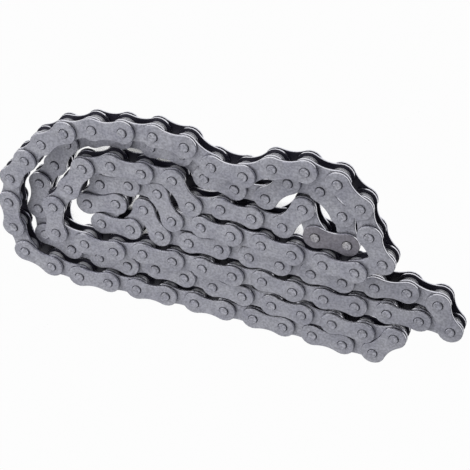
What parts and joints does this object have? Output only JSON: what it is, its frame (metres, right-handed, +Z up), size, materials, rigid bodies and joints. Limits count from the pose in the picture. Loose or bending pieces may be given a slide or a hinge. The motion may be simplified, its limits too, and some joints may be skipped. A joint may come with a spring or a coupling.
{
  "type": "roller chain",
  "caption": "Closed loop of steel roller chain with a connecting link, lying folded back and forth in a flat pile.",
  "frame": {"origin": "middle of the pile's footprint, on the surface that it lies on", "axes": "+X along the long straight rows, +Y across them towards the run that lies highest, +Z up"},
  "size_m": [0.1948, 0.0922, 0.0198],
  "materials": {
    "pile_steel": "matt grey, fine speckle",
    "outer_link_steel": "matt grey, fine speckle",
    "inner_link_steel": "matt grey, fine speckle",
    "pin_steel": "satin",
    "roller_steel": "satin, smooth",
    "connecting_link_base_plate_steel": "darker, blued",
    "connecting_link_cover_plate_steel": "darker, blued",
    "connecting_link_left_pin_steel": "satin",
    "connecting_link_right_pin_steel": "satin",
    "connecting_link_spring_clip_steel": "satin"
  },
  "bodies": {
    "pile": {"connecting_link_base_plate": "connecting_link_base_plate_steel", "connecting_link_cover_plate": "connecting_link_cover_plate_steel", "connecting_link_left_pin": "connecting_link_left_pin_steel", "connecting_link_right_pin": "connecting_link_right_pin_steel", "connecting_link_spring_clip": "connecting_link_spring_clip_steel", "pile_bottom_row_left": "pile_steel", "pile_bottom_row_right": "pile_steel", "pile_fifth_row_left": "pile_steel", "pile_fifth_row_right": "pile_steel", "pile_first_row_left": "pile_steel", "pile_first_row_right": "pile_steel", "pile_fourth_row_left": "pile_steel", "pile_fourth_row_right": "pile_steel", "pile_left_end": "pile_steel", "pile_left_shoulder": "pile_steel", "pile_left_shoulder_end": "pile_steel", "pile_low_run_left": "pile_steel", "pile_low_run_middle": "pile_steel", "pile_low_run_right": "pile_steel", "pile_s_bend": "pile_steel", "pile_second_row_left": "pile_steel", "pile_second_row_right": "pile_steel", "pile_third_row_left": "pile_steel", "pile_third_row_right": "pile_steel"},
    "top_run_01": {"top_run_01_outer_link": "outer_link_steel"},
    "top_run_02": {"top_run_02_inner_link": "inner_link_steel"},
    "top_run_02_near_roller": {"top_run_02_near_roller": "roller_steel"},
    "top_run_02_far_roller": {"top_run_02_far_roller": "roller_steel"},
    "top_run_03": {"top_run_03_outer_link": "outer_link_steel"},
    "top_run_04": {"top_run_04_inner_link": "inner_link_steel"},
    "top_run_04_near_roller": {"top_run_04_near_roller": "roller_steel"},
    "top_run_04_far_roller": {"top_run_04_far_roller": "roller_steel"},
    "top_run_05": {"top_run_05_outer_link": "outer_link_steel"},
    "top_run_06": {"top_run_06_inner_link": "inner_link_steel"},
    "top_run_06_near_roller": {"top_run_06_near_roller": "roller_steel"},
    "top_run_06_far_roller": {"top_run_06_far_roller": "roller_steel"},
    "top_run_07": {"top_run_07_outer_link": "outer_link_steel"},
    "top_run_08": {"top_run_08_inner_link": "inner_link_steel"},
    "top_run_08_near_roller": {"top_run_08_near_roller": "roller_steel"},
    "top_run_08_far_roller": {"top_run_08_far_roller": "roller_steel"},
    "top_run_09": {"top_run_09_outer_link": "outer_link_steel"},
    "top_run_10": {"top_run_10_inner_link": "inner_link_steel"},
    "top_run_10_near_roller": {"top_run_10_near_roller": "roller_steel"},
    "top_run_10_far_roller": {"top_run_10_far_roller": "roller_steel"},
    "top_run_11": {"top_run_11_lower_outer_plate": "outer_link_steel", "top_run_11_lower_pin_end": "pin_steel", "top_run_11_pin": "pin_steel", "top_run_11_upper_outer_plate": "outer_link_steel", "top_run_11_upper_pin_end": "pin_steel"}
  },
  "joints": [
    {"name": "top_run_01_pivot", "type": "hinge", "parent": "pile", "child": "top_run_01", "pos_m": [0.064, 0.00825, 0.0132], "axis": [-0.0016, 0.0561, -0.9984], "range_deg": [0, 60]},
    {"name": "top_run_02_pivot", "type": "hinge", "parent": "top_run_01", "child": "top_run_02", "pos_m": [0.05763, 0.01923, 0.01383], "axis": [-0.0016, 0.0561, -0.9984], "range_deg": [0, 15]},
    {"name": "top_run_02_near_roller_spin", "type": "hinge", "parent": "top_run_02", "child": "top_run_02_near_roller", "pos_m": [0.05763, 0.01923, 0.01383], "axis": [0.0088, -0.0445, 0.999], "continuous": true},
    {"name": "top_run_02_far_roller_spin", "type": "hinge", "parent": "top_run_02", "child": "top_run_02_far_roller", "pos_m": [0.0529, 0.031, 0.01439], "axis": [0.0088, -0.0445, 0.999], "continuous": true},
    {"name": "top_run_03_pivot", "type": "hinge", "parent": "top_run_02", "child": "top_run_03", "pos_m": [0.0529, 0.031, 0.01439], "axis": [-0.0136, 0.0336, -0.9993], "range_deg": [0, 39]},
    {"name": "top_run_04_pivot", "type": "hinge", "parent": "top_run_03", "child": "top_run_04", "pos_m": [0.04336, 0.03937, 0.0148], "axis": [-0.0136, 0.0336, -0.9993], "range_deg": [0, 45]},
    {"name": "top_run_04_near_roller_spin", "type": "hinge", "parent": "top_run_04", "child": "top_run_04_near_roller", "pos_m": [0.04336, 0.03937, 0.0148], "axis": [0.0102, -0.0221, 0.9997], "continuous": true},
    {"name": "top_run_04_far_roller_spin", "type": "hinge", "parent": "top_run_04", "child": "top_run_04_far_roller", "pos_m": [0.03078, 0.04112, 0.01497], "axis": [0.0102, -0.0221, 0.9997], "continuous": true},
    {"name": "top_run_05_pivot", "type": "hinge", "parent": "top_run_04", "child": "top_run_05", "pos_m": [0.03078, 0.04112, 0.01497], "axis": [0.0042, 0.0153, -0.9999], "range_deg": [0, 29]},
    {"name": "top_run_06_pivot", "type": "hinge", "parent": "top_run_05", "child": "top_run_06", "pos_m": [0.01825, 0.03903, 0.01489], "axis": [0.0042, 0.0153, -0.9999], "range_deg": [0, 34]},
    {"name": "top_run_06_near_roller_spin", "type": "hinge", "parent": "top_run_06", "child": "top_run_06_near_roller", "pos_m": [0.01825, 0.03903, 0.01489], "axis": [-0.0142, -0.0121, 0.9998], "continuous": true},
    {"name": "top_run_06_far_roller_spin", "type": "hinge", "parent": "top_run_06", "child": "top_run_06_far_roller", "pos_m": [0.00742, 0.03241, 0.01465], "axis": [-0.0142, -0.0121, 0.9998], "continuous": true},
    {"name": "top_run_07_pivot", "type": "hinge", "parent": "top_run_06", "child": "top_run_07", "pos_m": [0.00742, 0.03241, 0.01465], "axis": [0.018, 0.0062, -0.9998], "range_deg": [0, 15]},
    {"name": "top_run_08_pivot", "type": "hinge", "parent": "top_run_07", "child": "top_run_08", "pos_m": [-0.00527, 0.03284, 0.01443], "axis": [0.018, 0.0062, -0.9998], "range_deg": [0, 15]},
    {"name": "top_run_08_near_roller_spin", "type": "hinge", "parent": "top_run_08", "child": "top_run_08_near_roller", "pos_m": [-0.00527, 0.03284, 0.01443], "axis": [-0.011, -0.0026, 0.9999], "continuous": true},
    {"name": "top_run_08_far_roller_spin", "type": "hinge", "parent": "top_run_08", "child": "top_run_08_far_roller", "pos_m": [-0.01656, 0.03865, 0.01432], "axis": [-0.011, -0.0026, 0.9999], "continuous": true},
    {"name": "top_run_09_pivot", "type": "hinge", "parent": "top_run_08", "child": "top_run_09", "pos_m": [-0.01656, 0.03865, 0.01432], "axis": [-0.0003, 0.0037, -1], "range_deg": [0, 34]},
    {"name": "top_run_10_pivot", "type": "hinge", "parent": "top_run_09", "child": "top_run_10", "pos_m": [-0.02921, 0.03987, 0.01432], "axis": [-0.0003, 0.0037, -1], "range_deg": [0, 25]},
    {"name": "top_run_10_near_roller_spin", "type": "hinge", "parent": "top_run_10", "child": "top_run_10_near_roller", "pos_m": [-0.02921, 0.03987, 0.01432], "axis": [0.0044, -0.0052, 1], "continuous": true},
    {"name": "top_run_10_far_roller_spin", "type": "hinge", "parent": "top_run_10", "child": "top_run_10_far_roller", "pos_m": [-0.04181, 0.03831, 0.01437], "axis": [0.0044, -0.0052, 1], "continuous": true},
    {"name": "top_run_11_pivot", "type": "hinge", "parent": "top_run_10", "child": "top_run_11", "pos_m": [-0.04181, 0.03831, 0.01437], "axis": [-0.0006, 0.0094, -1], "range_deg": [0, 15]}
  ]
}
